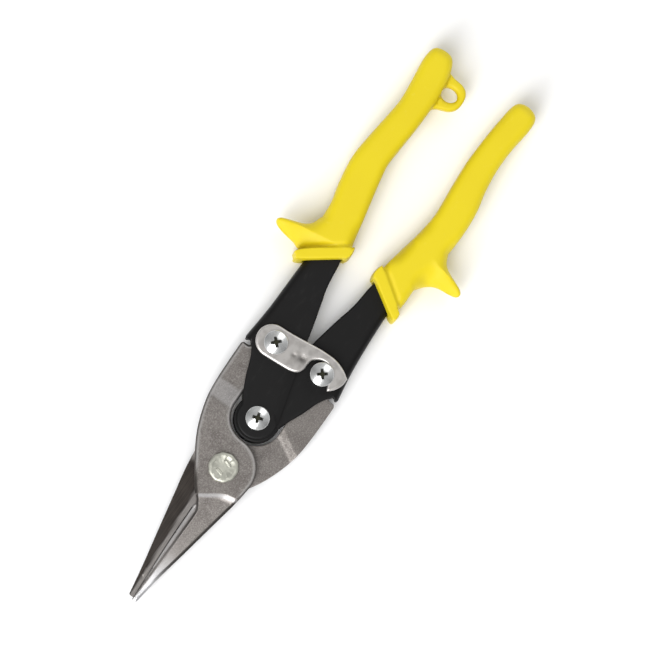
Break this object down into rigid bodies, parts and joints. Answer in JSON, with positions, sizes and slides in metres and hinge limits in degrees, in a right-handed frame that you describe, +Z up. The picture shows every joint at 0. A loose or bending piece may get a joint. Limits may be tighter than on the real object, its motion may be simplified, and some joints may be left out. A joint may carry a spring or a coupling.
{
  "type": "aviation snips",
  "caption": "Compound-action aviation snips with forged straight-cut blades, black channel handles, a hook latch and yellow moulded grips with guards and a hanging loop.",
  "frame": {"origin": "middle of the footprint, on the plane that the snips lie on", "axes": "+X along the snips towards the blade tips, +Y towards the right handle, +Z up towards the screw heads and the latch"},
  "size_m": [0.2486, 0.0766, 0.0184],
  "materials": {
    "forged_steel": "forged and ground, clear oiled",
    "handle_paint": "black satin coating on pressed steel",
    "grip_plastic": "yellow vinyl, satin",
    "zinc_plate": "bright zinc plated",
    "pivot_zinc": "dull zinc plated",
    "latch_steel": "plated and tumbled",
    "spring_steel": "dark oiled"
  },
  "bodies": {
    "left_handle": {"left_handle": "handle_paint", "left_grip": "grip_plastic", "left_link_screw": "zinc_plate", "left_link_sleeve": "zinc_plate", "left_link_nut": "zinc_plate", "latch_wave_washer": "zinc_plate", "handle_pivot_screw": "zinc_plate", "handle_pivot_sleeve": "zinc_plate", "handle_pivot_nut": "zinc_plate", "opening_spring": "spring_steel"},
    "right_handle": {"right_handle": "handle_paint", "right_grip": "grip_plastic", "right_link_screw": "zinc_plate", "right_link_spacer": "zinc_plate", "right_link_sleeve": "zinc_plate", "right_link_nut": "zinc_plate"},
    "front_blade": {"front_blade": "forged_steel", "pivot_bolt": "pivot_zinc", "pivot_washer": "zinc_plate", "pivot_nut": "zinc_plate"},
    "rear_blade": {"rear_blade": "forged_steel"},
    "latch": {"latch": "latch_steel"}
  },
  "joints": [
    {"name": "handle_pivot", "type": "hinge", "parent": "left_handle", "child": "right_handle", "pos_m": [0.03843, 0.00045, 0.0088], "axis": [0, 0, -1], "range_deg": [0, 32], "deforming": ["opening_spring"]},
    {"name": "left_link", "type": "hinge", "parent": "left_handle", "child": "front_blade", "pos_m": [0.01003, -0.01055, 0.0088], "axis": [0, 0, -1], "range_deg": [0, 7.65]},
    {"name": "right_link", "type": "hinge", "parent": "right_handle", "child": "rear_blade", "pos_m": [0.01003, 0.01145, 0.0088], "axis": [0, 0, 1], "range_deg": [0, 7.65]},
    {"name": "latch_pivot", "type": "hinge", "parent": "left_handle", "child": "latch", "pos_m": [0.01003, -0.01055, 0.0088], "axis": [0, 0, 1], "range_deg": [0, 67.5]}
  ],
  "couplings": [
    {"joint": "left_link", "follows": "handle_pivot", "ratio": 0.238},
    {"joint": "right_link", "follows": "handle_pivot", "ratio": 0.238},
    {"joint": "latch_pivot", "follows": "handle_pivot", "ratio": 2.1}
  ]
}
